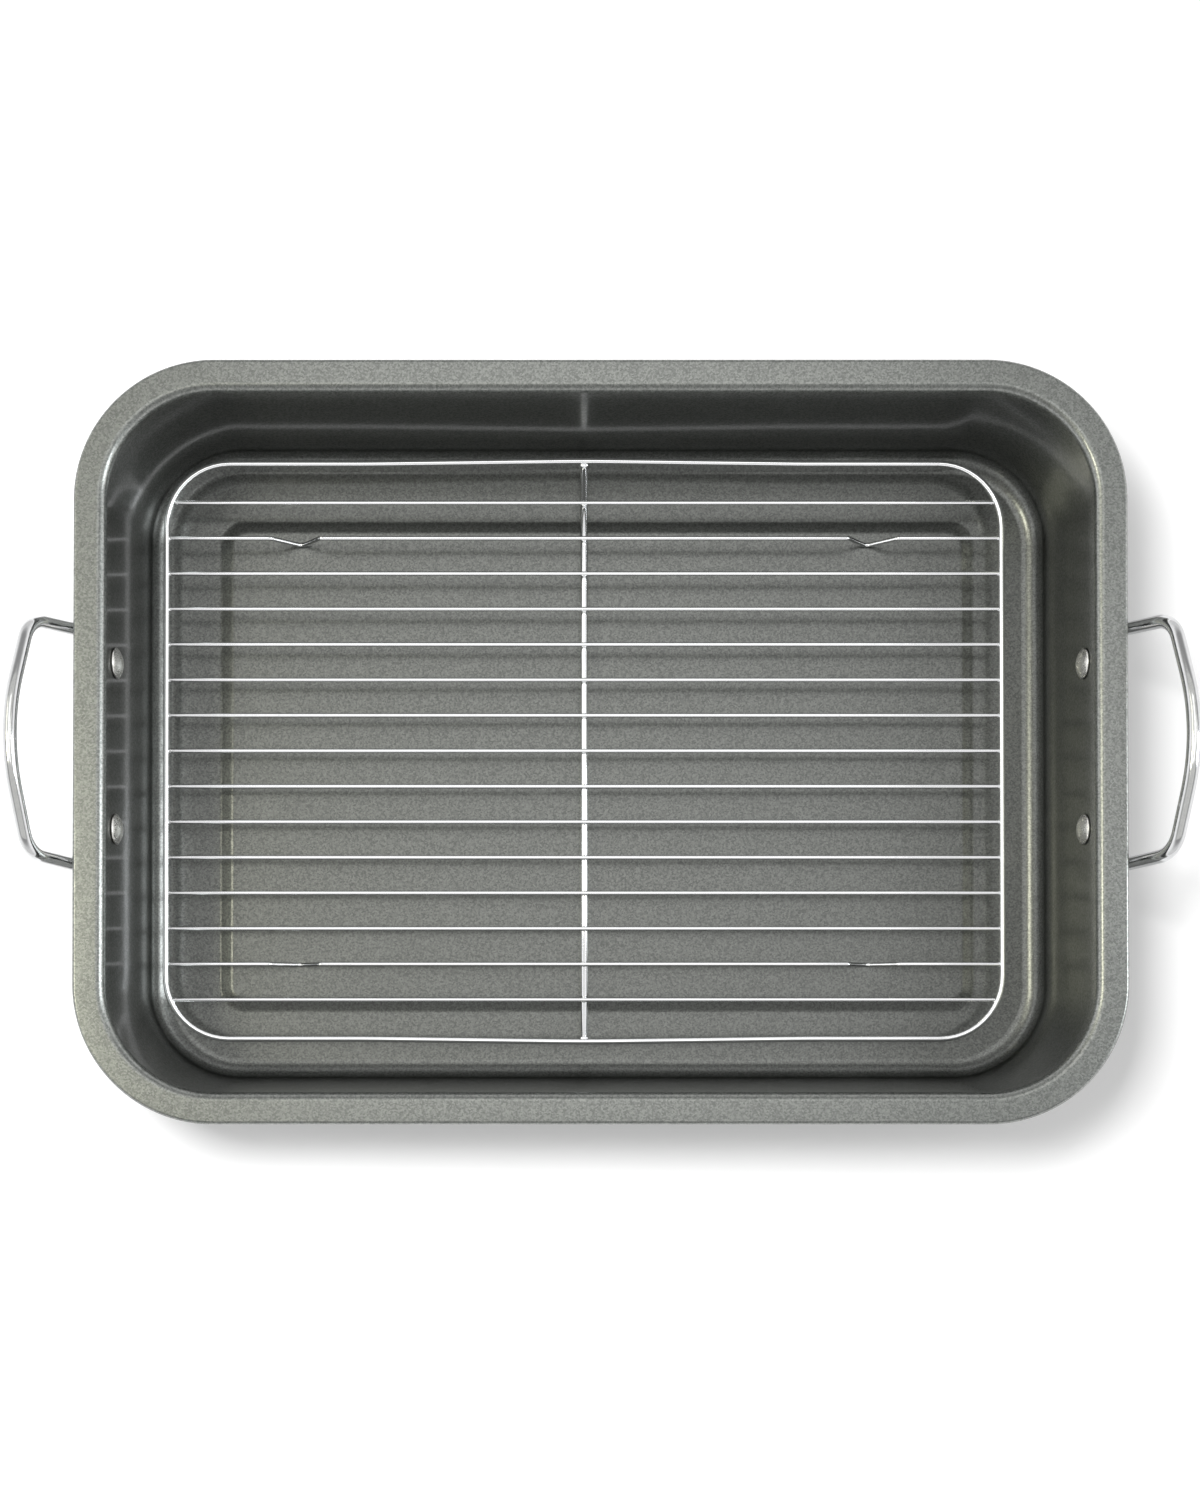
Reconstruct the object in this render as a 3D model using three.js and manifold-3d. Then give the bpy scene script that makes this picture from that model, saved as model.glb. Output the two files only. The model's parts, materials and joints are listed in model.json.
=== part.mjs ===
// Roasting pan with a flat wire rack: a drawn steel pan with a non-stick coating, two upright
// wire handles riveted to its short walls, and a loose rack welded from chromed wire.
// Millimetres, +Z up, +X along the length. The origin is the middle of the pan's underside.

import * as THREE from 'three';
import { mergeVertices } from 'three/addons/utils/BufferGeometryUtils.js';
import Module from 'manifold-3d';

const wasm = await Module();
wasm.setup();

// Pan: overall size at the rim, sheet metal and the section of its wall
const panLength = 405;
const panWidth = 294;
const panHeight = 68;
const rimCornerRadius = 54;
const sheet = 0.8;
const rimReach = 11.4;
const curlRadius = 2.2;
const curlTurn = 240;
const rimFillet = 3.2;
const wallLean = 3.8;
const baseFillet = 7;

// Pan: the raised panel in the middle of the base
const gutterReach = 28.2;
const rampWidth = 5.1;
const panelRise = 1.1;

// Handles: round wire, flattened where the rivets go through
const handleWire = 5.2;
const handleSpread = 92.4;
const handleLean = 20;
const elbowReach = 3.7;
const elbowBend = 5;
const wallBend = 4.5;
const shoulderHeight = 27.5;
const shoulderTaper = 2;
const shoulderBend = 12;
const gripSlope = 18.2;
const gripBow = 70;
const footReach = 9;
const footHeight = 13;
const footThickness = 2.4;
const neckRun = 0.5;

// Rivets: a domed head inside the pan, a flat upset tail outside
const rivetInset = 13.7;
const rivetDepth = 14;
const rivetShank = 5;
const rivetHead = 12.2;
const rivetDome = 2.8;
const rivetTail = 7;
const rivetTailHeight = 1.6;

// Rack: a frame, a cross bar under it and long wires over the bar, two of them with feet
const rackEndClearance = 13.3;
const rackSideClearance = 11.7;
const rackCornerRadius = 26.3;
const rackHeight = 11.7;
const rackShiftX = -5.7;
const rackShiftY = 4.5;
const frameWire = 2.5;
const barWire = 3;
const longWire = 1.8;
const wireCount = 15;
const sideMargin = 16.2;
const footInset = 54.4;
const footSplay = 42.5;
const footBend = 2.4;

// Clearances between pieces that touch
const seatGap = 0.3;
const weldGap = 0.3;
const holeGap = 0.3;

// How finely round shapes are divided
const cornerSteps = 8;
const bendSteps = 5;
const curlSteps = 8;
const wireSides = 8;
const handleSides = 12;
const rivetSides = 20;

// Places that follow from the sizes above
const draft = Math.atan2(wallLean, panHeight);
const wallInset = (z) => rimReach + wallLean * (panHeight - z) / panHeight;
const rivetHeight = panHeight - rivetDepth;
const rivetSpacing = handleSpread - 2 * rivetInset;
const shoulderSpread = handleSpread - 2 * shoulderTaper;
const wallOuterX = panLength / 2 - wallInset(rivetHeight) + sheet / Math.cos(draft);
const panelTop = sheet + panelRise;
const wireLevel = panelTop + rackHeight;
const frameLevel = wireLevel - longWire / 2 + frameWire / 2;
const barLevel = wireLevel - longWire / 2 - weldGap - barWire / 2;
const rackLength = panLength - 2 * (wallInset(wireLevel) + rackEndClearance) - frameWire;
const rackWidth = panWidth - 2 * (wallInset(wireLevel) + rackSideClearance) - frameWire;
const wirePitch = (rackWidth - 2 * sideMargin) / (wireCount - 1);

// Finishes
const coating = new THREE.MeshStandardMaterial({ color: 0x4e5052, roughness: 0.42, metalness: 0.55 });
const chrome = new THREE.MeshStandardMaterial({ color: 0xe4e6e8, roughness: 0.12, metalness: 1 });
const rivetMetal = new THREE.MeshStandardMaterial({ color: 0xb4b6b8, roughness: 0.34, metalness: 1 });

const degrees = (angle) => THREE.MathUtils.degToRad(angle);

// A closed skin over rings of equally many points. Capped, its first and last rings are flat ends;
// otherwise the last ring joins the first. Each ring turns left about the way that the first end faces.
function skin(rings, capped) {
  const count = rings[0].length;
  const position = rings.flat().flatMap((point) => point.toArray());
  const index = [];
  const bands = capped ? rings.length - 1 : rings.length;
  for (let k = 0; k < bands; k++) {
    const here = k * count;
    const next = ((k + 1) % rings.length) * count;
    for (let i = 0; i < count; i++) {
      const j = (i + 1) % count;
      index.push(here + i, next + i, next + j, here + i, next + j, here + j);
    }
  }
  if (capped) {
    const last = (rings.length - 1) * count;
    for (let i = 1; i < count - 1; i++) {
      index.push(0, i, i + 1, last, last + i + 1, last + i);
    }
  }
  const geometry = new THREE.BufferGeometry();
  geometry.setAttribute('position', new THREE.Float32BufferAttribute(position, 3));
  geometry.setIndex(index);
  geometry.computeVertexNormals();
  return geometry;
}

// A rounded rectangle at height z, set in by inset from an outline of the given size.
function roundedRing(length, width, radius, inset, z) {
  const points = [];
  const corners = [[1, 1], [-1, 1], [-1, -1], [1, -1]];
  corners.forEach(([sideX, sideY], quarter) => {
    for (let i = 0; i <= cornerSteps; i++) {
      const angle = (quarter + i / cornerSteps) * Math.PI / 2;
      const x = sideX * (length / 2 - radius) + (radius - inset) * Math.cos(angle);
      const y = sideY * (width / 2 - radius) + (radius - inset) * Math.sin(angle);
      points.push(new THREE.Vector3(x, y, z));
    }
  });
  return points;
}

// Points on an arc of a section, as [inset, height], from one angle to another in degrees.
function sectionArc(inset, z, radius, from, to, steps) {
  const points = [];
  for (let i = 0; i <= steps; i++) {
    const angle = degrees(from + (to - from) * i / steps);
    points.push([inset - radius * Math.cos(angle), z + radius * Math.sin(angle)]);
  }
  return points;
}

// Points along a line of corners, each corner rounded to its own bend radius.
function bentPath(corners, steps) {
  const points = [corners[0].at.clone()];
  for (let k = 1; k < corners.length - 1; k++) {
    const corner = corners[k].at;
    const back = corners[k - 1].at.clone().sub(corner).normalize();
    const ahead = corners[k + 1].at.clone().sub(corner).normalize();
    const half = back.angleTo(ahead) / 2;
    const radius = corners[k].bend;
    const middle = back.clone().add(ahead).normalize();
    const centre = corner.clone().addScaledVector(middle, radius / Math.sin(half));
    const first = corner.clone().addScaledVector(back, radius / Math.tan(half)).sub(centre);
    const axis = new THREE.Vector3().crossVectors(ahead, back).normalize();
    for (let i = 0; i <= steps; i++) {
      const turned = first.clone().applyAxisAngle(axis, (Math.PI - 2 * half) * i / steps);
      points.push(centre.clone().add(turned));
    }
  }
  points.push(corners[corners.length - 1].at.clone());
  return points;
}

// A wire along points. At each point its section is round and halfHeight high, pressed flat to halfWidth
// to both sides. The height lies along up at the start and is carried along the bends without twist.
function wireAlong(points, sides, up, section) {
  const last = points.length - 1;
  const rings = [];
  let high = up.clone();
  points.forEach((point, k) => {
    const along = points[Math.min(k + 1, last)].clone().sub(points[Math.max(k - 1, 0)]).normalize();
    high = high.addScaledVector(along, -high.dot(along)).normalize();
    const wide = new THREE.Vector3().crossVectors(high, along);
    const { halfWidth, halfHeight } = section(k);
    const ring = [];
    for (let i = 0; i < sides; i++) {
      const angle = (i + 0.5) / sides * 2 * Math.PI;
      const across = THREE.MathUtils.clamp(halfHeight * Math.cos(angle), -halfWidth, halfWidth);
      const upward = halfHeight * Math.sin(angle);
      ring.push(point.clone().addScaledVector(wide, -across).addScaledVector(high, upward));
    }
    rings.push(ring);
  });
  return skin(rings, true);
}

// A section function for plain round wire.
function roundSection(diameter) {
  return () => ({ halfWidth: diameter / 2, halfHeight: diameter / 2 });
}

// A straight wire of the given length along X or Y, centred on the origin.
function straightWire(diameter, length, sides, alongX) {
  const wire = new THREE.CylinderGeometry(diameter / 2, diameter / 2, length, sides);
  return alongX ? wire.rotateZ(Math.PI / 2) : wire;
}

// Cuts holes, given as closed geometries, out of a closed geometry.
function drill(geometry, holes) {
  const solid = (shape) => {
    const bare = shape.clone();
    bare.deleteAttribute('normal');
    bare.deleteAttribute('uv');
    const merged = mergeVertices(bare, 1e-4);
    const vertProperties = new Float32Array(merged.attributes.position.array);
    const triVerts = new Uint32Array(merged.index.array);
    return new wasm.Manifold(new wasm.Mesh({ numProp: 3, vertProperties, triVerts }));
  };
  const result = holes.reduce((body, hole) => body.subtract(solid(hole)), solid(geometry)).getMesh();
  const cut = new THREE.BufferGeometry();
  cut.setAttribute('position', new THREE.Float32BufferAttribute(result.vertProperties, 3));
  cut.setIndex([...result.triVerts]);
  cut.computeVertexNormals();
  return cut;
}

function named(name, geometry, material) {
  const mesh = new THREE.Mesh(geometry, material);
  mesh.name = name;
  return mesh;
}

// A hole for one rivet through the wall or a handle foot, along X, reaching depth to both sides.
function rivetHole(depth) {
  return new THREE.CylinderGeometry(rivetShank / 2 + holeGap, rivetShank / 2 + holeGap, 2 * depth, rivetSides)
    .rotateZ(Math.PI / 2);
}

// Half the section of the sheet, from the base panel to the curl's free edge. The upper face is at
// offset 0 and the lower face at offset sheet; bends grow or shrink with the offset.
function sheetFace(offset) {
  const lean = THREE.MathUtils.radToDeg(draft);
  const top = panHeight - offset;
  const floor = sheet - offset;
  const wallShift = offset / Math.cos(draft);
  const wallAt = (z) => wallInset(z) - wallShift;
  const inner = baseFillet + offset;
  const filletInset = wallAt(floor + inner) + inner / Math.cos(draft);
  const outer = rimFillet - offset;
  const shoulderInset = wallAt(top - outer) - outer / Math.cos(draft);
  const gutterEnd = rimReach + wallLean + gutterReach;
  const rampShift = offset * Math.tan(Math.atan2(panelRise, rampWidth) / 2);
  return [
    [gutterEnd + rampWidth + rampShift, floor + panelRise],
    [gutterEnd + rampShift, floor],
    ...sectionArc(filletInset, floor + inner, inner, -90, -lean, bendSteps),
    ...sectionArc(shoulderInset, top - outer, outer, 180 - lean, 90, bendSteps),
    ...sectionArc(curlRadius, panHeight - curlRadius, curlRadius - offset, 90, 90 - curlTurn, curlSteps),
  ];
}

// The pan: one sheet drawn to a tray with a flat rim whose edge is curled under, drilled for the rivets.
function panShell() {
  const section = [...sheetFace(0), ...sheetFace(sheet).reverse()];
  const rings = section.map(([inset, z]) => roundedRing(panLength, panWidth, rimCornerRadius, inset, z));
  const holes = [];
  for (const end of [-1, 1]) {
    for (const side of [-1, 1]) {
      const hole = rivetHole(rivetDepth / 2).rotateY(draft);
      hole.translate(wallOuterX, side * rivetSpacing / 2, rivetHeight);
      holes.push(end > 0 ? hole : hole.rotateZ(Math.PI));
    }
  }
  return named('pan_shell', drill(skin(rings, true), holes), coating);
}

// One handle in the frame of its wall: X out of the wall, Y along it, Z up it, with the origin on the
// wall's outer face between the rivets. The feet lie on the wall, the arms pass under the rim, and the
// grip stands up outside it.
function handle(name) {
  const footX = seatGap + footThickness / 2;
  const wireX = seatGap + handleWire / 2;
  const elbowX = panLength / 2 + elbowReach - wallOuterX;
  const rise = degrees(90 - handleLean) + draft;
  const grip = (y, height) => new THREE.Vector3(elbowX + height * Math.cos(rise), y, height * Math.sin(rise));
  const roundEnd = footHeight / 2;
  const footEnd = rivetSpacing / 2 - footReach;
  const neckStart = rivetSpacing / 2 + rivetTail / 2 + 2 * seatGap;
  const neckEnd = handleSpread / 2 - wallBend - neckRun;
  const crown = shoulderHeight + shoulderSpread / 2 * Math.tan(degrees(gripSlope));

  const foot = [25, 45, 65, 90].map((turn) => {
    const y = footEnd + roundEnd * (1 - Math.cos(degrees(turn)));
    const section = { halfWidth: footThickness / 2, halfHeight: roundEnd * Math.sin(degrees(turn)) };
    return { point: new THREE.Vector3(footX, y, 0), section };
  });
  foot.push({ ...foot[3], point: new THREE.Vector3(footX, neckStart, 0) });
  const wire = roundSection(handleWire)();
  const half = [
    { at: new THREE.Vector3(wireX, neckEnd, 0) },
    { at: new THREE.Vector3(wireX, handleSpread / 2, 0), bend: wallBend },
    { at: grip(handleSpread / 2, 0), bend: elbowBend },
    { at: grip(shoulderSpread / 2, shoulderHeight), bend: shoulderBend },
  ];
  const mirrored = (v) => new THREE.Vector3(v.x, -v.y, v.z);
  const otherHalf = half.map(({ at, bend }) => ({ at: mirrored(at), bend })).reverse();
  const bent = bentPath([...half, { at: grip(0, crown), bend: gripBow }, ...otherHalf], bendSteps);
  const stations = [
    ...foot,
    ...bent.map((point) => ({ point, section: wire })),
    ...foot.map(({ point, section }) => ({ point: mirrored(point), section })).reverse(),
  ];
  const body = wireAlong(stations.map(({ point }) => point), handleSides, new THREE.Vector3(0, 0, 1),
    (k) => stations[k].section);
  const holes = [-1, 1].map((side) => rivetHole(footHeight).translate(0, side * rivetSpacing / 2, 0));
  return named(name, drill(body, holes), chrome);
}

// One rivet in the frame of its wall: the dome inside the pan, the shank through wall and foot.
function rivet(name) {
  const headSeat = -sheet - seatGap;
  const tailSeat = footThickness + 2 * seatGap;
  const domeRadius = ((rivetHead / 2) ** 2 + rivetDome ** 2) / (2 * rivetDome);
  const domeAngle = Math.asin(rivetHead / 2 / domeRadius);
  const profile = [];
  for (let i = 0; i <= bendSteps; i++) {
    const angle = domeAngle * i / bendSteps;
    const fall = domeRadius * (1 - Math.cos(angle));
    profile.push(new THREE.Vector2(domeRadius * Math.sin(angle), headSeat - rivetDome + fall));
  }
  const chamfer = rivetTailHeight / 3;
  profile.push(
    new THREE.Vector2(rivetShank / 2, headSeat),
    new THREE.Vector2(rivetShank / 2, tailSeat),
    new THREE.Vector2(rivetTail / 2, tailSeat),
    new THREE.Vector2(rivetTail / 2, tailSeat + rivetTailHeight - chamfer),
    new THREE.Vector2(rivetTail / 2 - chamfer, tailSeat + rivetTailHeight),
    new THREE.Vector2(0, tailSeat + rivetTailHeight),
  );
  const body = new THREE.LatheGeometry(profile, rivetSides).rotateZ(-Math.PI / 2);
  return named(name, body, rivetMetal);
}

// The fittings of one short wall, tilted with its draft: a handle and the two rivets that hold it.
function endFittings(side) {
  const right = side === 'right';
  const fittings = new THREE.Group();
  fittings.position.set(wallOuterX, 0, rivetHeight);
  fittings.rotation.y = draft;
  fittings.add(handle(`handle_${side}`));
  for (const place of ['front', 'back']) {
    const fastener = rivet(`rivet_${side}_${place}`);
    const towardBack = (place === 'back') === right;
    fastener.position.y = (towardBack ? 1 : -1) * rivetSpacing / 2;
    fittings.add(fastener);
  }
  const end = new THREE.Group();
  end.rotation.z = right ? 0 : Math.PI;
  end.add(fittings);
  return end;
}

// Half the length of a long wire at y, ending just inside the frame, also in the frame's corners.
function wireReach(y) {
  const inner = rackCornerRadius - frameWire / 2 - weldGap;
  const intoCorner = Math.max(0, Math.abs(y) + longWire / 2 - (rackWidth / 2 - rackCornerRadius));
  return rackLength / 2 - rackCornerRadius + Math.sqrt(inner ** 2 - intoCorner ** 2);
}

// The rack's frame: one wire bent to a rounded rectangle and welded into a loop.
function rackFrame() {
  const rings = [];
  for (let i = 0; i < wireSides; i++) {
    const angle = i / wireSides * 2 * Math.PI;
    const inset = -frameWire / 2 * Math.sin(angle);
    rings.push(roundedRing(rackLength, rackWidth, rackCornerRadius, inset, frameWire / 2 * Math.cos(angle)));
  }
  const mesh = named('rack_frame', skin(rings, false), chrome);
  mesh.position.z = frameLevel;
  return mesh;
}

// A long wire with two V-shaped dips, which are the rack's feet. The bend at the bottom of a V stands
// on the panel, so the corner that it rounds lies deeper.
function footWire(name, y) {
  const reach = wireReach(y);
  const cornerDepth = footBend * (1 / Math.sin(degrees(footSplay)) - 1);
  const drop = rackHeight - longWire / 2 - seatGap + cornerDepth;
  const halfSpan = drop * Math.tan(degrees(footSplay));
  const footX = rackLength / 2 - footInset;
  const at = (x, z) => new THREE.Vector3(x, 0, z);
  const corners = [{ at: at(-reach, 0) }];
  for (const middle of [-footX, footX]) {
    corners.push(
      { at: at(middle - halfSpan, 0), bend: footBend },
      { at: at(middle, -drop), bend: footBend },
      { at: at(middle + halfSpan, 0), bend: footBend },
    );
  }
  corners.push({ at: at(reach, 0) });
  const points = bentPath(corners, bendSteps);
  return named(name, wireAlong(points, wireSides, new THREE.Vector3(0, 0, 1), roundSection(longWire)), chrome);
}

// The loose rack, in its own group, as it stands in the pan.
function rack() {
  const group = new THREE.Group();
  group.position.set(rackShiftX, rackShiftY, 0);
  group.add(rackFrame());

  const bar = named('rack_cross_bar', straightWire(barWire, rackWidth + frameWire, wireSides, false), chrome);
  bar.position.z = barLevel;
  group.add(bar);

  for (let i = 0; i < wireCount; i++) {
    const y = (wireCount - 1) / 2 * wirePitch - i * wirePitch;
    const number = String(i + 1).padStart(2, '0');
    let wire = named(`rack_wire_${number}`, straightWire(longWire, 2 * wireReach(y), wireSides, true), chrome);
    if (i === 1) wire = footWire('rack_foot_wire_back', y);
    if (i === wireCount - 2) wire = footWire('rack_foot_wire_front', y);
    wire.position.set(0, y, wireLevel);
    group.add(wire);
  }
  return group;
}

const roastingPan = new THREE.Group();
roastingPan.add(panShell(), endFittings('left'), endFittings('right'), rack());

export default roastingPan;
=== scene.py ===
# Roasting pan with a flat wire rack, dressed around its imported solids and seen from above.
import json
import math

import bmesh
import bpy
from mathutils import Matrix, Vector

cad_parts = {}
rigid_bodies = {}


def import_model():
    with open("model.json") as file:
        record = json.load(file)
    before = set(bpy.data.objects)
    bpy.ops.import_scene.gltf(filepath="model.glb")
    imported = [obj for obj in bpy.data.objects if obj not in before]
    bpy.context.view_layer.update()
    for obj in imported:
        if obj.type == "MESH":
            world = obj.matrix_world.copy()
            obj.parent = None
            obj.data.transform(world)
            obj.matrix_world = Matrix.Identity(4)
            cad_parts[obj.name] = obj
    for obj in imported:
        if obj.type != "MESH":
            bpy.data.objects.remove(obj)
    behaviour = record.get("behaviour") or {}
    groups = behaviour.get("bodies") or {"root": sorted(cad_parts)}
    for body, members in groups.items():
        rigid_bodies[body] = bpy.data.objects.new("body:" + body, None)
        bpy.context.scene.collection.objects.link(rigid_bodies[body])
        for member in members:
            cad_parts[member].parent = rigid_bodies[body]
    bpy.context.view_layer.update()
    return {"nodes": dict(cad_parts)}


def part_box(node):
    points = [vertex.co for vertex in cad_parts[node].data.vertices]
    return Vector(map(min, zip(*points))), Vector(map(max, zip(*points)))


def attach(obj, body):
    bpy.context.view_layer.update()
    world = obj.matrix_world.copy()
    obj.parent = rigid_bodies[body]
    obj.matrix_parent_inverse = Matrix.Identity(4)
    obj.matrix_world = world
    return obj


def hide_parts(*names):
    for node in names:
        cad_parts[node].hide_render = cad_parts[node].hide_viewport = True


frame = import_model()
scene = bpy.context.scene
scene.view_settings.view_transform = "Standard"

# Camera: the photograph looks straight down from 0.64 m above the rim, from a point in front of the
# pan's middle, and is cut from the part of the picture behind that point. The rim's edges and the
# pixel below the lens are read in its 1200 by 1485 frame.
pan_low, pan_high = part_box("pan_shell")
picture_width, picture_height = 1200, 1485
rim_left, rim_right, rim_back, rim_front = 71.0, 1130.5, 355.3, 1125.0
below_lens_x, below_lens_y = 565, 1010
lens_above_rim = 0.64
camera_tilt = math.radians(0.64)
sensor = 36

metres_per_pixel = (pan_high.x - pan_low.x) / (rim_right - rim_left)
focal_pixels = lens_above_rim / metres_per_pixel
tilt_pixels = focal_pixels * math.tan(camera_tilt)
camera_data = bpy.data.cameras.new("camera")
camera_data.sensor_width = sensor
camera_data.lens = focal_pixels * sensor / picture_height
camera_data.shift_x = (picture_width / 2 - below_lens_x) / picture_height
camera_data.shift_y = (below_lens_y - picture_height / 2 - tilt_pixels) / picture_height
camera = bpy.data.objects.new("camera", camera_data)
camera.location = (
    (below_lens_x - (rim_left + rim_right) / 2) * metres_per_pixel,
    ((rim_back + rim_front) / 2 - below_lens_y) * metres_per_pixel,
    pan_high.z + lens_above_rim,
)
camera.rotation_euler = (camera_tilt, 0, 0)
scene.collection.objects.link(camera)
scene.camera = camera

# Pan: one sheet of carbon steel drawn to a tray, with a raised base panel and a flat rim whose edge is
# curled under; the rim's outline is drawn along the sheet's section, ring by ring. A dark grey non-stick
# coating with fine metal flakes under a clear gloss covers it. Its colour is painted lighter towards the
# rim: painted light for the low side light that the walls keep from the inside of the tub.
sheet = 0.0008
rim_corner = 0.054
rim_reach = 0.0122
curl_radius = 0.0014
curl_turn = 240
rim_fillet = 0.0034
wall_lean = 0.0038
base_fillet = 0.0078
gutter_reach = 0.0274
ramp_width = 0.0051
panel_rise = 0.0011
ramp_bend = 0.008
corner_segments = 48
coating_dark = (0.134, 0.14, 0.133, 1)
coating_light = (0.232, 0.24, 0.228, 1)
# Painted light on the rim: the coating's colour is scaled up by this factor, starting at the first depth
# below the rim's top and full at the second.
rim_painted_light = 1.66
painted_light_from = 0.009
painted_light_full_from = 0.001


def add_node(tree, kind, **sockets):
    """Adds a shader node and sets input sockets, named with _ for a space, to values or links."""
    node = tree.nodes.new(kind)
    for name, value in sockets.items():
        socket = node.inputs[name.replace("_", " ")]
        if isinstance(value, bpy.types.NodeSocket):
            tree.links.new(value, socket)
        else:
            socket.default_value = value
    return node


def new_material(name):
    """A material with an empty tree, its Principled shader and its Object coordinates."""
    material = bpy.data.materials.new(name)
    material.use_nodes = True
    tree = material.node_tree
    tree.nodes.clear()
    shader = tree.nodes.new("ShaderNodeBsdfPrincipled")
    output = tree.nodes.new("ShaderNodeOutputMaterial")
    tree.links.new(shader.outputs["BSDF"], output.inputs["Surface"])
    place = tree.nodes.new("ShaderNodeTexCoord").outputs["Object"]
    return material, tree, shader, place


def place_piece(name, shape, material, body, slot, *nodes):
    """Turns a finished bmesh into a smooth piece that rides on a body and stands for CAD nodes."""
    bmesh.ops.recalc_face_normals(shape, faces=shape.faces)
    mesh = bpy.data.meshes.new(name)
    shape.to_mesh(mesh)
    shape.free()
    mesh.shade_smooth()
    mesh.materials.append(material)
    piece = bpy.data.objects.new(name, mesh)
    scene.collection.objects.link(piece)
    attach(piece, body)
    if nodes:
        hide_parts(*nodes)
    return piece


def section_arc(inset, height, radius, first, last, steps):
    """Points of a section, as inset and height, along an arc given in degrees; 0 points outward."""
    turns = [math.radians(first + (last - first) * step / steps) for step in range(steps + 1)]
    return [(inset - radius * math.cos(turn), height + radius * math.sin(turn)) for turn in turns]


pan_middle = (pan_low + pan_high) / 2
pan_length, pan_width, pan_height = pan_high - pan_low
draft = math.atan2(wall_lean, pan_height)
lean = math.degrees(draft)
ramp_slope = math.degrees(math.atan2(panel_rise, ramp_width))
ramp_tangent = ramp_bend * math.tan(math.radians(ramp_slope) / 2)
ramp_foot = rim_reach + wall_lean + gutter_reach
foot_height = base_fillet + sheet
fillet_inset = rim_reach + wall_lean * (1 - foot_height / pan_height) + base_fillet / math.cos(draft)
brow_inset = rim_reach + wall_lean * rim_fillet / pan_height - rim_fillet / math.cos(draft)
section = [
    *section_arc(curl_radius, pan_height - curl_radius, curl_radius, 90 - curl_turn, 90, steps=16),
    *section_arc(brow_inset, pan_height - rim_fillet, rim_fillet, 90, 180 - lean, steps=10),
    *section_arc(fillet_inset, foot_height, base_fillet, -lean, -90, steps=14),
    *section_arc(ramp_foot - ramp_tangent, sheet + ramp_bend, ramp_bend, -90, -90 - ramp_slope, steps=4),
    *section_arc(ramp_foot + ramp_width + ramp_tangent, sheet + panel_rise - ramp_bend, ramp_bend,
                 90 - ramp_slope, 90, steps=4),
]
corner_middle = Vector((pan_length / 2 - rim_corner, pan_width / 2 - rim_corner))
pan_mesh = bmesh.new()
bmesh.ops.create_grid(pan_mesh, x_segments=1, y_segments=1, size=0.5)
bmesh.ops.scale(pan_mesh, verts=pan_mesh.verts, vec=(pan_length, pan_width, 1))
bmesh.ops.bevel(pan_mesh, geom=pan_mesh.verts[:], offset=rim_corner, offset_type="OFFSET",
                affect="VERTICES", segments=corner_segments, profile=0.5, material=-1)
bmesh.ops.delete(pan_mesh, geom=pan_mesh.faces[:], context="FACES_ONLY")
ring = pan_mesh.edges[:]
for inset, height in section:
    verts = {vert for edge in ring for vert in edge.verts}
    for vert in verts:
        middle = Vector(map(math.copysign, corner_middle, vert.co.xy))
        outward = (vert.co.xy - middle).normalized()
        vert.co = (*(middle + outward * (rim_corner - inset)), height)
    if (inset, height) != section[-1]:
        drawn = bmesh.ops.extrude_edge_only(pan_mesh, edges=ring)["geom"]
        ring = [item for item in drawn if isinstance(item, bmesh.types.BMEdge)]
bmesh.ops.contextual_create(pan_mesh, geom=ring)
bmesh.ops.remove_doubles(pan_mesh, verts=pan_mesh.verts, dist=1e-6)
bmesh.ops.translate(pan_mesh, verts=pan_mesh.verts, vec=(pan_middle.x, pan_middle.y, pan_low.z))

coating, coating_tree, coating_shader, coating_place = new_material("nonstick_coating")
flakes = add_node(coating_tree, "ShaderNodeTexVoronoi", Vector=coating_place, Scale=1700.0)
flake_value = add_node(coating_tree, "ShaderNodeSeparateColor", Color=flakes.outputs["Color"])
cloud = add_node(coating_tree, "ShaderNodeTexNoise", Vector=coating_place, Scale=900.0, Detail=3.0)
grain = add_node(coating_tree, "ShaderNodeMix", Factor=0.45)
grain.data_type = "FLOAT"
coating_tree.links.new(flake_value.outputs["Red"], grain.inputs[2])
coating_tree.links.new(cloud.outputs["Fac"], grain.inputs[3])
shade = add_node(coating_tree, "ShaderNodeValToRGB", Fac=grain.outputs[0])
shade.color_ramp.elements[0].position = 0.25
shade.color_ramp.elements[0].color = coating_dark
shade.color_ramp.elements[1].position = 0.75
shade.color_ramp.elements[1].color = coating_light
coated_place = add_node(coating_tree, "ShaderNodeSeparateXYZ", Vector=coating_place)
# Painted light: the coating's colour grows lighter towards the rim's top, for the side light that the
# walls keep from the tub.
painted_light_scale = add_node(coating_tree, "ShaderNodeMapRange", Value=coated_place.outputs["Z"],
                     From_Min=pan_height - painted_light_from, From_Max=pan_height - painted_light_full_from,
                     To_Min=1.0, To_Max=rim_painted_light)
coating_tone_with_painted_light = add_node(coating_tree, "ShaderNodeVectorMath")
coating_tone_with_painted_light.operation = "SCALE"
coating_tree.links.new(shade.outputs["Color"], coating_tone_with_painted_light.inputs[0])
coating_tree.links.new(painted_light_scale.outputs["Result"], coating_tone_with_painted_light.inputs["Scale"])
sparkle = add_node(coating_tree, "ShaderNodeMapRange", Value=grain.outputs[0], To_Min=0.36, To_Max=0.3)
relief = add_node(coating_tree, "ShaderNodeBump", Height=grain.outputs[0], Strength=0.2, Distance=0.0002)
coating_tree.links.new(coating_tone_with_painted_light.outputs["Vector"], coating_shader.inputs["Base Color"])
coating_tree.links.new(sparkle.outputs["Result"], coating_shader.inputs["Roughness"])
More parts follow.
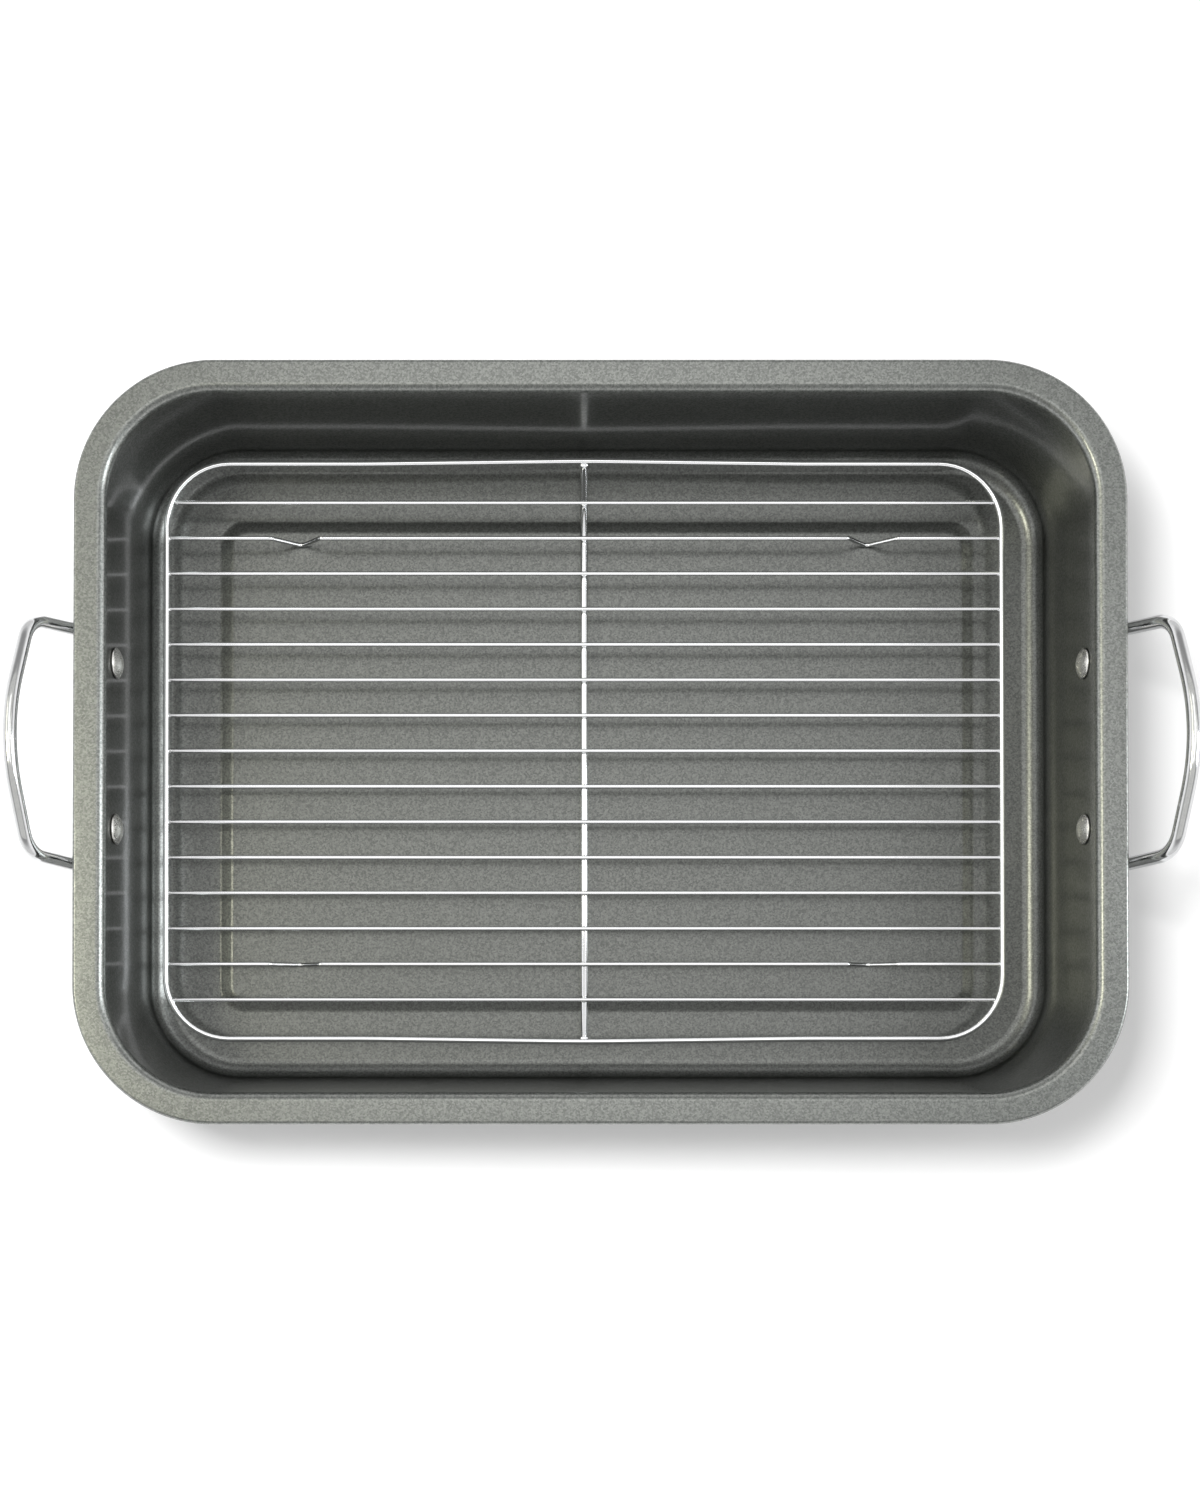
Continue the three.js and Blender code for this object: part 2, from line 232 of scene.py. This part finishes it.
coating_tree.links.new(relief.outputs["Normal"], coating_shader.inputs["Normal"])
coating_shader.inputs["Metallic"].default_value = 1.0
coating_shader.inputs["Specular Tint"].default_value = (0.25, 0.25, 0.25, 1)
coating_shader.inputs["Coat Weight"].default_value = 1.0
coating_shader.inputs["Coat Roughness"].default_value = 0.15
pan = place_piece("pan", pan_mesh, coating, "pan", "coating", "pan_shell")
wall = pan.modifiers.new("sheet", "SOLIDIFY")
wall.thickness = sheet
wall.offset = -1
wall.use_even_offset = True
flats = pan.modifiers.new("flats", "WEIGHTED_NORMAL")
flats.keep_sharp = True

# Handles: each one chromed steel wire, bent to an upright bow that leans outward, with its arms under
# the rim and both ends pressed flat where they lie on the short wall.
handle_wire = 0.0052
handle_spread = 0.0924
handle_lean = math.radians(20)
elbow_reach = 0.0037
elbow_bend = 0.005
wall_bend = 0.0045
shoulder_height = 0.0275
shoulder_spread = 0.0884
shoulder_bend = 0.012
grip_slope = math.radians(18.2)
grip_bow = 0.07
rivet_spacing = 0.065
rivet_depth = 0.014
foot_reach = 0.009
foot_radius = 0.0065
foot_thickness = 0.0024
foot_roundness = 0.3
foot_tip_turns = (90, 72, 54, 38, 22)
neck_start = 0.0366
neck_end = 0.0412
seat_gap = 0.0003
handle_sides = 32
handle_steps = 14


def extend_wire(wire, ring, step):
    """Draws the open ring of edges at a wire's end on by a step and returns the new ring."""
    drawn = bmesh.ops.extrude_edge_only(wire, edges=ring)["geom"]
    new_verts = [item for item in drawn if isinstance(item, bmesh.types.BMVert)]
    bmesh.ops.translate(wire, verts=new_verts, vec=step)
    return [item for item in drawn if isinstance(item, bmesh.types.BMEdge)]


def lay_wire(wire, corners, diameter, sides, steps):
    """Draws a round wire along corners, each a place and a bend radius, and returns both its end rings."""
    places = [Vector(place) for place, bend in corners]
    stand = (places[1] - places[0]).to_track_quat("Z", "Y").to_matrix().to_4x4()
    stand.translation = places[0]
    circle = bmesh.ops.create_circle(wire, radius=diameter / 2, segments=sides, matrix=stand)["verts"]
    first = list({edge for vert in circle for edge in vert.link_edges})
    last = first
    here = places[0]
    for index in range(1, len(corners) - 1):
        corner, bend = places[index], corners[index][1]
        back = (places[index - 1] - corner).normalized()
        ahead = (places[index + 1] - corner).normalized()
        half = back.angle(ahead) / 2
        last = extend_wire(wire, last, corner + back * (bend / math.tan(half)) - here)
        centre = corner + (back + ahead).normalized() * (bend / math.sin(half))
        spun = bmesh.ops.spin(wire, geom=last, cent=centre, axis=ahead.cross(back).normalized(),
                              angle=math.pi - 2 * half, steps=steps)["geom_last"]
        last = [item for item in spun if isinstance(item, bmesh.types.BMEdge)]
        here = corner + ahead * (bend / math.tan(half))
    return first, extend_wire(wire, last, places[-1] - here)


def press_foot(handle, ring, side):
    """Draws a handle's end on as a flat foot with a round tip, pressed out of the round wire."""
    tip = rivet_spacing / 2 - foot_reach
    stations = []
    for share in (0.25, 0.5, 0.75, 1.0):
        ease = share * share * (3 - 2 * share)
        thickness = handle_wire + (foot_thickness - handle_wire) * ease
        radius = handle_wire / 2 + (foot_radius - handle_wire / 2) * ease
        roundness = 1 + (foot_roundness - 1) * ease
        stations.append((neck_end + (neck_start - neck_end) * share, radius, thickness, roundness))
    for turn in foot_tip_turns:
        angle = math.radians(turn)
        y = tip + foot_radius * (1 - math.cos(angle))
        stations.append((y, foot_radius * math.sin(angle), foot_thickness, foot_roundness))
    here, wide = Vector((seat_gap + handle_wire / 2, side * neck_end, 0)), handle_wire / 2
    rings = []
    for y, radius, thickness, roundness in stations:
        place = Vector((seat_gap + thickness / 2, side * y, 0))
        ring = extend_wire(handle, ring, place - here)
        verts = list({vert for edge in ring for vert in edge.verts})
        swell = radius / wide
        bmesh.ops.scale(handle, verts=verts, vec=(swell, 1, swell), space=Matrix.Translation(-place))
        rings.append((verts, place.x, radius, thickness, roundness))
        here, wide = place, radius
    bmesh.ops.contextual_create(handle, geom=ring)
    for verts, x, radius, thickness, roundness in rings:
        for vert in verts:
            across = (vert.co.x - x) / radius
            vert.co.x = x + math.copysign(abs(across) ** roundness, across) * thickness / 2


rivet_height = pan_high.z - rivet_depth
wall_face = pan_length / 2 - rim_reach - wall_lean * rivet_depth / pan_height + sheet / math.cos(draft)
on_wall = Matrix.Translation((wall_face, 0, rivet_height)) @ Matrix.Rotation(draft, 4, "Y")
end_walls = {"right": on_wall, "left": Matrix.Rotation(math.pi, 4, "Z") @ on_wall}
elbow = pan_length / 2 + elbow_reach - wall_face
rise = math.pi / 2 - handle_lean + draft
crown = shoulder_height + shoulder_spread / 2 * math.tan(grip_slope)
shoulder_x = elbow + shoulder_height * math.cos(rise)
shoulder_z = shoulder_height * math.sin(rise)
half_bow = [
    ((seat_gap + handle_wire / 2, neck_end, 0), 0),
    ((seat_gap + handle_wire / 2, handle_spread / 2, 0), wall_bend),
    ((elbow, handle_spread / 2, 0), elbow_bend),
    ((shoulder_x, shoulder_spread / 2, shoulder_z), shoulder_bend),
]
other_half = [((x, -y, z), bend) for (x, y, z), bend in reversed(half_bow)]
top = ((elbow + crown * math.cos(rise), 0, crown * math.sin(rise)), grip_bow)
bow = [*half_bow, top, *other_half]

wear = bpy.data.node_groups.new("light_wear", "ShaderNodeTree")
wear.interface.new_socket("Place", in_out="INPUT", socket_type="NodeSocketVector")
wear.interface.new_socket("Wear", in_out="OUTPUT", socket_type="NodeSocketFloat")
wear_in = wear.nodes.new("NodeGroupInput")
wear_out = wear.nodes.new("NodeGroupOutput")
worn_place = wear_in.outputs["Place"]
smears = add_node(wear, "ShaderNodeTexNoise", Vector=worn_place, Scale=260.0, Detail=5.0, Roughness=0.6)
scratches = add_node(wear, "ShaderNodeTexNoise", Vector=worn_place, Scale=900.0, Distortion=2.0)
worn = add_node(wear, "ShaderNodeMath")
worn.operation = "MULTIPLY"
wear.links.new(smears.outputs["Fac"], worn.inputs[0])
wear.links.new(scratches.outputs["Fac"], worn.inputs[1])
spread = add_node(wear, "ShaderNodeMapRange", Value=worn.outputs[0], From_Min=0.12, From_Max=0.42)
wear.links.new(spread.outputs["Result"], wear_out.inputs["Wear"])


def worn_metal(name, clean, dull, smooth, scuffed, relief=0.0):
    """A metal whose colour, roughness and, with a relief, surface change where it is worn."""
    material, tree, shader, place = new_material(name)
    marks = add_node(tree, "ShaderNodeGroup")
    marks.node_tree = wear
    tree.links.new(place, marks.inputs["Place"])
    worn_away = marks.outputs["Wear"]
    tone = add_node(tree, "ShaderNodeValToRGB", Fac=worn_away)
    tone.color_ramp.elements[0].color = clean
    tone.color_ramp.elements[1].color = dull
    polish = add_node(tree, "ShaderNodeMapRange", Value=worn_away, To_Min=smooth, To_Max=scuffed)
    tree.links.new(tone.outputs["Color"], shader.inputs["Base Color"])
    tree.links.new(polish.outputs["Result"], shader.inputs["Roughness"])
    shader.inputs["Metallic"].default_value = 1.0
    if relief:
        dents = add_node(tree, "ShaderNodeBump", Height=worn_away, Strength=relief, Distance=0.0004)
        tree.links.new(dents.outputs["Normal"], shader.inputs["Normal"])
    return material


# The handles' chrome is a darker copy of the rack's plating: painted shade on the handles.
shaded_handle_chrome = worn_metal("shaded_handle_chrome", clean=(0.72, 0.725, 0.73, 1), dull=(0.64, 0.645, 0.65, 1),
                           smooth=0.05, scuffed=0.14)
for side, wall_place in end_walls.items():
    handle_mesh = bmesh.new()
    back_ring, front_ring = lay_wire(handle_mesh, bow, handle_wire, handle_sides, handle_steps)
    press_foot(handle_mesh, back_ring, 1)
    press_foot(handle_mesh, front_ring, -1)
    bmesh.ops.remove_doubles(handle_mesh, verts=handle_mesh.verts, dist=1e-6)
    bmesh.ops.transform(handle_mesh, matrix=wall_place, verts=handle_mesh.verts)
    place_piece(f"bow_handle_{side}", handle_mesh, shaded_handle_chrome, "pan", "chrome", f"handle_{side}")

# Rivets: four plain steel rivets through the short walls and the handles' feet. The domed heads inside
# are lightly scuffed and stand on a small lip; the tails outside are upset flat. Each is turned from half
# its section.
rivet_head = 0.0122
rivet_dome = 0.0028
rivet_lip = 0.0005
rivet_shank = 0.005
rivet_tail = 0.007
rivet_tail_height = 0.0016
rivet_sides = 40
dome_steps = 12

rivet_steel = worn_metal("scuffed_steel", clean=(0.95, 0.94, 0.9, 1), dull=(0.6, 0.59, 0.56, 1),
                         smooth=0.22, scuffed=0.4, relief=0.08)
dome_rise = rivet_dome - rivet_lip
dome_radius = ((rivet_head / 2) ** 2 + dome_rise ** 2) / (2 * dome_rise)
dome_angle = math.asin(rivet_head / 2 / dome_radius)
tail_seat = seat_gap + foot_thickness
tail_chamfer = rivet_tail_height / 3
outline = []
for step in range(dome_steps + 1):
    turn = dome_angle * step / dome_steps
    depth = dome_radius * (1 - math.cos(turn))
    outline.append((depth - rivet_dome - sheet, dome_radius * math.sin(turn)))
outline += [
    (-sheet, rivet_head / 2 - rivet_lip),
    (-sheet, rivet_shank / 2),
    (tail_seat, rivet_shank / 2),
    (tail_seat, rivet_tail / 2),
    (tail_seat + rivet_tail_height - tail_chamfer, rivet_tail / 2),
    (tail_seat + rivet_tail_height, rivet_tail / 2 - tail_chamfer),
    (tail_seat + rivet_tail_height, 0),
]
for side, wall_place in end_walls.items():
    for end, toward in (("front", -1), ("back", 1)):
        across = toward if side == "right" else -toward
        rivet_mesh = bmesh.new()
        points = [rivet_mesh.verts.new((x, 0, radius)) for x, radius in outline]
        edges = [rivet_mesh.edges.new(pair) for pair in zip(points, points[1:])]
        bmesh.ops.spin(rivet_mesh, geom=points + edges, cent=(0, 0, 0), axis=(1, 0, 0), angle=2 * math.pi,
                       steps=rivet_sides, use_merge=True)
        bmesh.ops.remove_doubles(rivet_mesh, verts=rivet_mesh.verts, dist=1e-6)
        bmesh.ops.translate(rivet_mesh, verts=rivet_mesh.verts, vec=(0, across * rivet_spacing / 2, 0))
        bmesh.ops.transform(rivet_mesh, matrix=wall_place, verts=rivet_mesh.verts)
        node = f"rivet_{side}_{end}"
        rivet = place_piece(f"{node}_turned", rivet_mesh, rivet_steel, "pan", "rivet", node)
        crisp = rivet.modifiers.new("crisp", "WEIGHTED_NORMAL")
        crisp.keep_sharp = True

# Rack frame: one bright-plated steel wire, bent to a rounded rectangle and butt-welded into a loop. The
# long sides bow out a little where the cross bar is welded under them.
frame_low, frame_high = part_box("rack_frame")
frame_wire = frame_high.z - frame_low.z
frame_corner = 0.0263
bar_bow = 0.0012
bow_run = 0.09
bow_bend = 1.0
rail_sides = 20
corner_steps = 12

plating = worn_metal("bright_plating", clean=(0.93, 0.935, 0.94, 1), dull=(0.86, 0.87, 0.88, 1),
                     smooth=0.05, scuffed=0.14)
frame_middle = (frame_low + frame_high) / 2
rail_x = (frame_high.x - frame_low.x - frame_wire) / 2
rail_y = (frame_high.y - frame_low.y - frame_wire) / 2
frame_mesh = bmesh.new()
loop = [
    ((bow_run, rail_y, 0), 0),
    ((0, rail_y + bar_bow, 0), bow_bend),
    ((-bow_run, rail_y, 0), bow_bend),
    ((-rail_x, rail_y, 0), frame_corner),
    ((-rail_x, -rail_y, 0), frame_corner),
    ((-bow_run, -rail_y, 0), bow_bend),
    ((0, -rail_y - bar_bow, 0), bow_bend),
    ((bow_run, -rail_y, 0), bow_bend),
    ((rail_x, -rail_y, 0), frame_corner),
    ((rail_x, rail_y, 0), frame_corner),
    ((bow_run, rail_y, 0), 0),
]
lay_wire(frame_mesh, loop, frame_wire, rail_sides, corner_steps)
bmesh.ops.remove_doubles(frame_mesh, verts=frame_mesh.verts, dist=1e-5)
bmesh.ops.translate(frame_mesh, verts=frame_mesh.verts, vec=frame_middle)
place_piece("rack_rim_wire", frame_mesh, plating, "rack", "chrome", "rack_frame")

# Cross bar: a thicker plated wire that carries the long wires, which are welded on top of it. It is
# sheared off level with the frame's outside, and its ends are slightly rounded.
bar_low, bar_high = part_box("rack_cross_bar")
bar_wire = bar_high.x - bar_low.x
bar_rounding = 0.0003

bar_middle = (bar_low + bar_high) / 2
bar_mesh = bmesh.new()
bar_reach = (bar_high.y - bar_low.y) / 2
bar_path = [((0, -bar_reach, 0), 0), ((0, bar_reach, 0), 0)]
bar_ends = lay_wire(bar_mesh, bar_path, bar_wire, rail_sides, steps=1)
for ring in bar_ends:
    bmesh.ops.contextual_create(bar_mesh, geom=ring)
bmesh.ops.bevel(bar_mesh, geom=bar_ends[0] + bar_ends[1], offset=bar_rounding, offset_type="OFFSET",
                affect="EDGES", segments=3, profile=0.5, material=-1)
bmesh.ops.translate(bar_mesh, verts=bar_mesh.verts, vec=bar_middle)
place_piece("rack_bar", bar_mesh, plating, "rack", "chrome", "rack_cross_bar")

# Long wires: thirteen straight plated wires that lie on the bar. Their ends are welded to the frame's
# inner side, so each is drawn on into the frame.
weld_gap = 0.0003
wire_sides = 16

into_frame = weld_gap + frame_wire / 4
for node in sorted(name for name in frame["nodes"] if name.startswith("rack_wire_")):
    wire_low, wire_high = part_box(node)
    wire_middle = (wire_low + wire_high) / 2
    reach = (wire_high.x - wire_low.x) / 2 + into_frame
    wire_mesh = bmesh.new()
    path = [((-reach, 0, 0), 0), ((reach, 0, 0), 0)]
    lay_wire(wire_mesh, path, wire_high.z - wire_low.z, wire_sides, steps=1)
    bmesh.ops.translate(wire_mesh, verts=wire_mesh.verts, vec=wire_middle)
    place_piece(node.replace("wire", "straight"), wire_mesh, plating, "rack", "chrome", node)

# Foot wires: the second wire from the front and from the back, each with two V-shaped dips that stand
# on the pan's raised panel. The outer leg of each dip is the flatter one.
foot_inset = 0.0544
foot_splay = math.radians(42.5)
foot_bend = 0.0024
foot_skew = 0.0012
foot_steps = 8
long_wire = 0.0018

for row in ("back", "front"):
    node = f"rack_foot_wire_{row}"
    wire_low, wire_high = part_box(node)
    wire_middle = (wire_low + wire_high) / 2
    reach = (wire_high.x - wire_low.x) / 2 + into_frame
    drop = wire_high.z - wire_low.z - long_wire + foot_bend * (1 / math.sin(foot_splay) - 1)
    half_span = drop * math.tan(foot_splay)
    path = [((-reach, 0, 0), 0)]
    for middle, skew in ((foot_inset - rail_x, -foot_skew), (rail_x - foot_inset, foot_skew)):
        path += [
            ((middle - half_span + skew, 0, 0), foot_bend),
            ((middle, 0, -drop), foot_bend),
            ((middle + half_span + skew, 0, 0), foot_bend),
        ]
    path.append(((reach, 0, 0), 0))
    wire_mesh = bmesh.new()
    lay_wire(wire_mesh, path, long_wire, wire_sides, foot_steps)
    bmesh.ops.remove_doubles(wire_mesh, verts=wire_mesh.verts, dist=1e-6)
    bmesh.ops.translate(wire_mesh, verts=wire_mesh.verts,
                        vec=(wire_middle.x, wire_middle.y, wire_high.z - long_wire / 2))
    place_piece(f"rack_footed_{row}", wire_mesh, plating, "rack", "chrome", node)

# Welds: small nuggets of steel under the plating, where each long wire crosses the bar and meets the
# frame, and where the bar's ends meet the frame.
bar_nugget = (0.0014, 0.0012, 0.0005)
frame_nugget = (0.0009, 0.0011, 0.0009)
end_nugget = (0.0018, 0.0013, 0.0006)

nuggets = []
crossings = [name for name in frame["nodes"] if name.startswith(("rack_wire_", "rack_foot_wire_"))]
for node in sorted(crossings):
    wire_low, wire_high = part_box(node)
    y = (wire_low.y + wire_high.y) / 2
    wire_level = wire_high.z - long_wire / 2
    nuggets += [
        ((bar_middle.x, y, wire_level - long_wire / 2), bar_nugget),
        ((wire_low.x, y, wire_level), frame_nugget),
        ((wire_high.x, y, wire_level), frame_nugget),
    ]
for y in (bar_low.y, bar_high.y):
    inner_y = y - math.copysign(frame_wire / 2, y - bar_middle.y)
    nuggets.append(((bar_middle.x, inner_y, frame_low.z), end_nugget))
weld_mesh = bmesh.new()
for place, radii in nuggets:
    bmesh.ops.create_icosphere(weld_mesh, subdivisions=2, radius=1,
                               matrix=Matrix.Translation(place) @ Matrix.Diagonal((*radii, 1)))
place_piece("rack_welds", weld_mesh, plating, "rack", "chrome")

# Floor: plain white paper under the pan, which carries its shadow. To the camera and in mirrors it shows
# paler than its light alone makes it, and more so away from the pan.
floor_size = 6.0
near_pan, far_from_pan = 0.35, 1.2
near_glow, far_glow = 0.19, 0.58

floor_mesh = bmesh.new()
bmesh.ops.create_grid(floor_mesh, x_segments=1, y_segments=1, size=floor_size / 2)
floor_data = bpy.data.meshes.new("floor")
floor_mesh.to_mesh(floor_data)
floor_mesh.free()
floor = bpy.data.objects.new("floor", floor_data)
scene.collection.objects.link(floor)
floor_material, floor_tree, floor_shader, floor_place = new_material("floor_white")
paper = add_node(floor_tree, "ShaderNodeTexNoise", Vector=floor_place, Scale=40.0)
paper_shade = add_node(floor_tree, "ShaderNodeMapRange", Value=paper.outputs["Fac"],
                       To_Min=0.84, To_Max=0.86)
floor_tree.links.new(paper_shade.outputs["Result"], floor_shader.inputs["Base Color"])
floor_shader.inputs["Roughness"].default_value = 0.9
floor_shader.inputs["Specular IOR Level"].default_value = 0.0
floor_shader.inputs["Emission Color"].default_value = (1, 1, 1, 1)
seen = add_node(floor_tree, "ShaderNodeLightPath")
mirrored = add_node(floor_tree, "ShaderNodeMath")
mirrored.operation = "MAXIMUM"
floor_tree.links.new(seen.outputs["Is Glossy Ray"], mirrored.inputs[0])
floor_tree.links.new(seen.outputs["Is Transmission Ray"], mirrored.inputs[1])
shown = add_node(floor_tree, "ShaderNodeMath")
shown.operation = "MAXIMUM"
floor_tree.links.new(seen.outputs["Is Camera Ray"], shown.inputs[0])
floor_tree.links.new(mirrored.outputs[0], shown.inputs[1])
away = add_node(floor_tree, "ShaderNodeVectorMath")
away.operation = "LENGTH"
floor_tree.links.new(floor_place, away.inputs[0])
paleness = add_node(floor_tree, "ShaderNodeMapRange", Value=away.outputs["Value"], From_Min=near_pan,
                    From_Max=far_from_pan, To_Min=near_glow, To_Max=far_glow)
glow = add_node(floor_tree, "ShaderNodeMapRange", Value=shown.outputs[0],
                To_Min=0.0, To_Max=paleness.outputs["Result"])
floor_tree.links.new(glow.outputs["Result"], floor_shader.inputs["Emission Strength"])
floor_data.materials.append(floor_material)

# Light: a pale room, dimmer overhead and brightest at both sides. Softboxes stand at the left, above the
# back and at the right. Three more light only the rack and rivets, the handles, and the floor, whose lamp
# hangs low at the left, so that the pan's shadow shows at the right and in front.
overhead_level = 0.35
middle_level, side_level = 0.82, 1.2

world = bpy.data.worlds.new("room")
scene.world = world
world.use_nodes = True
room_tree = world.node_tree
room = room_tree.nodes["Background"]
room.inputs["Color"].default_value = (1.0, 1.0, 1.0, 1)
room_place = room_tree.nodes.new("ShaderNodeTexCoord").outputs["Generated"]
gaze = add_node(room_tree, "ShaderNodeSeparateXYZ", Vector=room_place)
sideways = add_node(room_tree, "ShaderNodeMath")
sideways.operation = "ABSOLUTE"
room_tree.links.new(gaze.outputs["X"], sideways.inputs[0])
horizon = add_node(room_tree, "ShaderNodeMapRange", Value=sideways.outputs[0], From_Min=0.4, From_Max=0.85,
                   To_Min=middle_level, To_Max=side_level)
room_level = add_node(room_tree, "ShaderNodeMapRange", Value=gaze.outputs["Z"], From_Min=0.26,
                      From_Max=0.72, To_Min=horizon.outputs["Result"], To_Max=overhead_level)
room_level.interpolation_type = "SMOOTHSTEP"
room_tree.links.new(room_level.outputs["Result"], room.inputs["Strength"])


def add_softbox(name, place, width, depth, power, colour, link_state, pieces):
    """A lamp that faces the pan and lights only the pieces or, with EXCLUDE, all but them."""
    lamp = bpy.data.lights.new(name, "AREA")
    lamp.shape = "RECTANGLE"
    lamp.size = width
    lamp.size_y = depth
    lamp.energy = power
    lamp.color = colour
    softbox = bpy.data.objects.new(name, lamp)
    softbox.location = place
    softbox.rotation_euler = (pan_middle - Vector(place)).to_track_quat("-Z", "Y").to_euler()
    softbox.visible_camera = False
    scene.collection.objects.link(softbox)
    linked = bpy.data.collections.new(f"{name}_pieces")
    for piece in pieces:
        linked.objects.link(piece)
    for member in linked.collection_objects:
        member.light_linking.link_state = link_state
    softbox.light_linking.receiver_collection = linked


for name, place, width, depth, power, colour in (
    ("softbox_key", (-2.12, 0.0, 3.43), 1.0, 1.0, 21.5, (1.0, 0.98, 0.78)),
    ("softbox_left", (-2.44, 0.91, 2.99), 1.6, 1.6, 8, (1.0, 0.98, 0.84)),
    ("softbox_above", (0.0, 0.7, 3.93), 1.9, 2.6, 13.7, (1.0, 1.0, 0.98)),
    ("softbox_slant", (1.8, 0.6, 3.5), 0.9, 1.4, 2.6, (1.0, 1.0, 0.98)),
    ("softbox_right", (3.2, 0.0, 2.4), 1.0, 2.0, 42, (0.93, 0.97, 1.0)),
):
    add_softbox(name, place, width, depth, power, colour, "EXCLUDE", [floor])
rack_and_rivets = [piece for piece in scene.objects if piece.active_material in (plating, rivet_steel)]
handles = [piece for piece in scene.objects if piece.active_material == shaded_handle_chrome]
for name, place, size, power, colour, pieces in (
    ("softbox_rack", (0.0, 0.0, 3.0), 24.0, 840, (1.0, 1.0, 1.0), rack_and_rivets),
    ("softbox_handles", (0.0, 0.0, 3.0), 5.0, 28, (1.0, 1.0, 0.94), handles),
    ("softbox_floor", (-0.185, 0.07, 0.75), 0.24, 6.6, (1.0, 1.0, 1.0), [floor]),
):
    add_softbox(name, place, size, size, power, colour, "INCLUDE", pieces)
